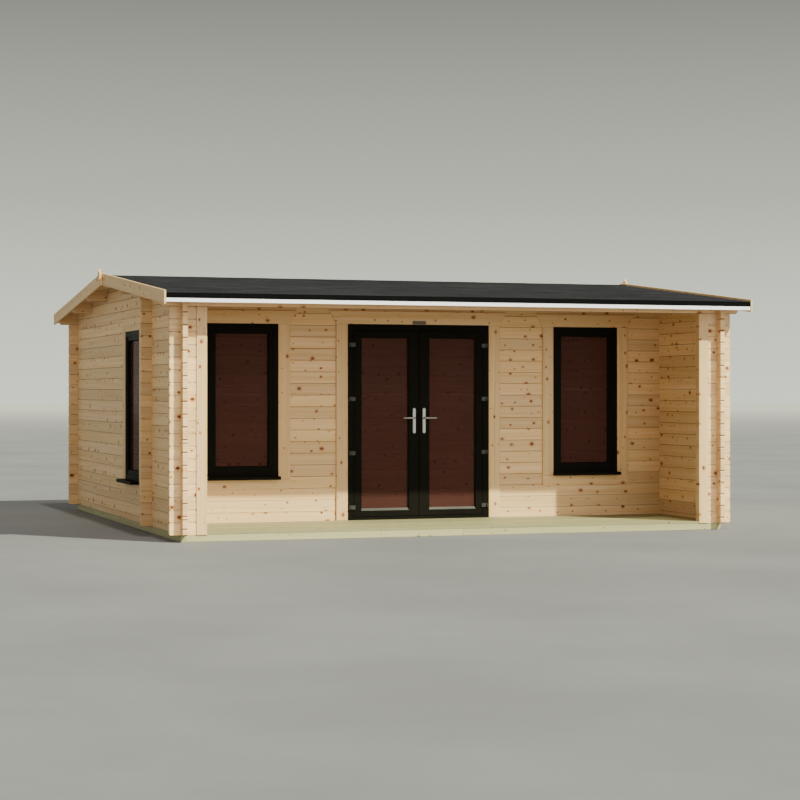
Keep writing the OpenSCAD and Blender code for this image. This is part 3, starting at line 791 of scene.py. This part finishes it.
def bead_ring(bm, centre, right, out, w, h, profile):
    """Four mitred mouldings inside an opening w by h, centred on centre."""
    bar(bm, centre - UP * (h / 2), right, out, profile, -w / 2, w / 2, UP)
    bar(bm, centre + UP * (h / 2), right, out, profile, -w / 2, w / 2, -UP)
    bar(bm, centre - right * (w / 2), UP, out, profile, -h / 2, h / 2, right)
    bar(bm, centre + right * (w / 2), UP, out, profile, -h / 2, h / 2, -right)


def bead_profile(back, depth):
    """A bead that slopes down to the glass at depth, from a narrow flat set back by back."""
    return [(0, -back), (0.004, -back - 0.001), (0.011, -depth), (0, -depth)]


# Glazing beads: outside each window pane, and on both sides of each door pane, where a pale bead
# stands along the foot of the glass outside
for name, (origin, right, out) in WINDOWS:
    w, h = WINDOW_W - 2 * WINDOW_EDGE, WINDOW_H - 2 * WINDOW_EDGE
    centre = origin + UP * (WINDOW_Z + WINDOW_H / 2) + out * (FRAME_PROUD - SASH_BACK)
    bm = bmesh.new()
    bead_ring(bm, centre, right, out, w, h, bead_profile(0.003, WINDOW_GLASS_BACK - 0.0005))
    piece(name + "_beads", bm, FRAME, "black_frame", "cabin")

SILL_BEAD = [(0.0005, -0.0005), (0.004, -0.0010), (0.024, -0.0155), (0.0005, -0.0155)]
for name, sign in SIDES:
    w = LEAF_W - HINGE_STILE - MEETING_STILE
    h = LEAF_H - TOP_RAIL - BOTTOM_RAIL
    mid_x = sign * (LEAF_X - HINGE_STILE - w / 2)
    mid_z = LEAF_Z + BOTTOM_RAIL + h / 2
    for where, out_y, face, pane in (
        ("outer", -1, FRAME_Y, GLASS_BACK),
        ("inner", 1, FRAME_Y + LEAF_T, LEAF_T - GLASS_T - GLASS_BACK),
    ):
        bm = bmesh.new()
        centre, out = Vector((mid_x, face, mid_z)), Vector((0, out_y, 0))
        bead_ring(bm, centre, RIGHT, out, w, h, bead_profile(0.002, pane - SEAT))
        piece(f"{name}_leaf_{where}_beads", bm, FRAME, "black_frame", name + "_door")
    bm = bmesh.new()
    foot, half = Vector((mid_x, FRAME_Y, mid_z - h / 2)), w / 2 - 0.001
    bar(bm, foot, RIGHT, Vector((0, -1, 0)), SILL_BEAD, -half, half, UP, mitre=0.35)
    piece(name + "_leaf_sill_bead", bm, BEAD, "black_frame", name + "_door")


def rims(bm, rings):
    """Faces between closed rings of points, and over the first and the last."""
    for a, b in zip(rings, rings[1:]):
        for k in range(len(a)):
            j = (k + 1) % len(a)
            bm.faces.new((a[k], a[j], b[j], b[k]))
    bm.faces.new(rings[0][::-1])
    bm.faces.new(rings[-1])


def round_ring(bm, centre, a, b, sides):
    """Points of an ellipse whose half axes are the vectors a and b."""
    turns = [2 * math.pi * k / sides for k in range(sides)]
    return [bm.verts.new(centre + a * math.cos(t) + b * math.sin(t)) for t in turns]


def sweep(bm, path, sizes, sides=14):
    """An elliptical tube along path; sizes gives (half across, half up) at each point."""
    rings = []
    for i, p in enumerate(path):
        ahead = path[min(i + 1, len(path) - 1)] - path[max(i - 1, 0)]
        ahead.normalize()
        across = ahead.cross(UP).normalized()
        rings.append(round_ring(bm, p, across * sizes[i][0], UP * sizes[i][1], sides))
    rims(bm, rings)


def disc(bm, centre, out, radius, thick, sides=32, ease=0.0006):
    """A round plate standing on centre along out, with an eased rim."""
    side_a = out.orthogonal().normalized()
    side_b = out.cross(side_a)
    rims(bm, [
        round_ring(bm, centre + out * d, side_a * r, side_b * r, sides)
        for r, d in ((radius, 0.0), (radius, thick - ease), (radius - ease, thick))
    ])


# Levers: a round neck that bends into a flattened, slightly curved arm, on both faces of a leaf,
# with a shaft through it. The lock's key hole and the plates' screws go with the leaf.
COLLAR_R = 0.0108
COLLAR_T = 0.006
NECK_R = 0.0085
BEND_R = 0.012
BEND_STEPS = 6
ARM_HALF = 0.0055  # half its thickness
ARM_BOW = 0.004
ARM_STEPS = 8
TAPER = 0.0010  # by which half the arm's height shrinks to its end
TIP = 0.006
TIP_SIZE = (0.0022, 0.0035)
SHAFT_R = 0.0045
SHAFT_PROUD = 0.004  # past each plate
KEY_R = 0.0085
KEY_DROP = 0.092
SCREW_R = 0.0038
SCREW_HEIGHTS = (-0.139, 0.085)
for name, sign in SIDES:
    bm = bmesh.new()
    locks = bmesh.new()
    away = Vector((sign, 0, 0))
    for out_y, face in ((-1, FRAME_Y), (1, FRAME_Y + LEAF_T)):
        out = Vector((0, out_y, 0))
        hub = Vector((sign * LEVER_X, face, LEVER_Z))
        stand = PLATE_T + SEAT
        disc(bm, hub + out * (stand + 0.0002), out, COLLAR_R, COLLAR_T)
        reach = stand + HUB_L - 0.008
        path = [hub + out * (stand + 0.004), hub + out * (reach - BEND_R)]
        sizes = [(NECK_R, NECK_R), (NECK_R, NECK_R)]
        for k in range(1, BEND_STEPS + 1):
            f = k / BEND_STEPS
            t = math.pi / 2 * f
            ahead = out * (reach - BEND_R + BEND_R * math.sin(t))
            path.append(hub + ahead + away * (BEND_R * (1 - math.cos(t))))
            sizes.append((NECK_R - (NECK_R - ARM_HALF) * f, NECK_R))
        for k in range(1, ARM_STEPS + 1):
            f = k / ARM_STEPS
            ahead = out * (reach - ARM_BOW * math.sin(math.pi * f))
            path.append(hub + ahead + away * (BEND_R + (LEVER_LEN - BEND_R - TIP) * f))
            sizes.append((ARM_HALF, NECK_R - TAPER * f))
        path.append(path[-1] + away * TIP)
        sizes.append(TIP_SIZE)
        sweep(bm, path, sizes)
        plate = hub + out * PLATE_T
        disc(locks, plate - UP * KEY_DROP, out, KEY_R, thick=0.0030)
        for height in SCREW_HEIGHTS:
            disc(locks, plate + UP * height, out, SCREW_R, thick=0.0010, sides=16)
    past = PLATE_T + SHAFT_PROUD
    shaft = Vector((sign * LEVER_X, FRAME_Y - past, LEVER_Z))
    disc(bm, shaft, Vector((0, 1, 0)), SHAFT_R, LEAF_T + 2 * past, sides=16)
    lever = name + "_lever"
    piece(lever + "_handle", bm, STEEL, "handle_metal", lever, lever, smooth=True)
    piece(name + "_lock_face", locks, STEEL, "handle_metal", name + "_door")

# ---- stage: pale floor, soft light, camera ----
# The floor lies just below the base, so that their faces don't share a plane
bpy.ops.mesh.primitive_plane_add(size=400, location=(0, 0, -0.0005))
ground = bpy.context.object
ground.name = "stage_floor"
s = Shade("stage floor", 0.75, 0.0, 0.3)
x, y = s.place()[:2]
cloud = s.noise((x, 0.35), (y, 0.35), detail=5.0, rough=0.6)
near = s.mix(s.fit(cloud, 0.3, 0.7), (0.146, 0.145, 0.157), (0.178, 0.177, 0.191))
far = s.math("SQRT", s.add(s.mul(x, x), s.mul(y, y)))
s.colour(s.mix(s.fit(far, 25.0, 150.0), near, (0.36, 0.36, 0.36)))
ground.data.materials.append(s.mat)

# Light of the surroundings, as (place, level) from the horizon up to the zenith
SKY = ((0.0, 1.00), (0.045, 0.86), (0.095, 0.60), (0.20, 0.27), (0.45, 0.36), (1.0, 0.48))
SKY_TINT = (1.0, 1.04, 0.88)
world = bpy.data.worlds.new("studio")
bpy.context.scene.world = world
world.use_nodes = True
tree = world.node_tree
way = tree.nodes.new("ShaderNodeTexCoord")
apart = tree.nodes.new("ShaderNodeSeparateXYZ")
ramp = tree.nodes.new("ShaderNodeValToRGB")
tree.links.new(way.outputs["Generated"], apart.inputs[0])
tree.links.new(apart.outputs[2], ramp.inputs[0])
tree.links.new(ramp.outputs[0], tree.nodes["Background"].inputs["Color"])
while len(ramp.color_ramp.elements) < len(SKY):
    ramp.color_ramp.elements.new(0.5)
for element, (place, level) in zip(ramp.color_ramp.elements, SKY):
    element.position = place
    element.color = (*(level * tint for tint in SKY_TINT), 1)

# Suns: direction towards it, strength, its width in degrees, and colour
for name, towards, strength, angle, colour in (
    ("key", (0.443, -0.574, 0.688), 8.6, 1.0, (0.96, 1.0, 0.76)),
    ("fill", (0.0, -0.454, 0.891), 1.5, 2.0, (1.0, 0.99, 0.82)),
    ("front", (0.25, -0.95, 0.15), 1.45, 50.0, (1.0, 0.97, 0.93)),
    ("side", (-0.90, -0.35, 0.25), 0.36, 60.0, (1.0, 0.89, 0.76)),
):
    lamp = bpy.data.lights.new(name, "SUN")
    lamp.energy = strength
    lamp.angle = math.radians(angle)
    lamp.color = colour
    o = bpy.data.objects.new(name, lamp)
    o.rotation_mode = "QUATERNION"
    o.rotation_quaternion = Vector(towards).to_track_quat("Z", "Y")
    bpy.context.scene.collection.objects.link(o)

# Camera, fitted to the cabin's corners in the photograph
camera = bpy.data.cameras.new("camera")
camera.sensor_width = 36.0
camera.lens = 90.39
camera.shift_y = -0.01615
camera.clip_end = 400
eye = bpy.data.objects.new("camera", camera)
eye.location = (-6.662, -20.336, 1.3457)
eye.rotation_euler = (math.radians(90.143), 0.0, math.radians(-18.885))
bpy.context.scene.collection.objects.link(eye)
bpy.context.scene.camera = eye
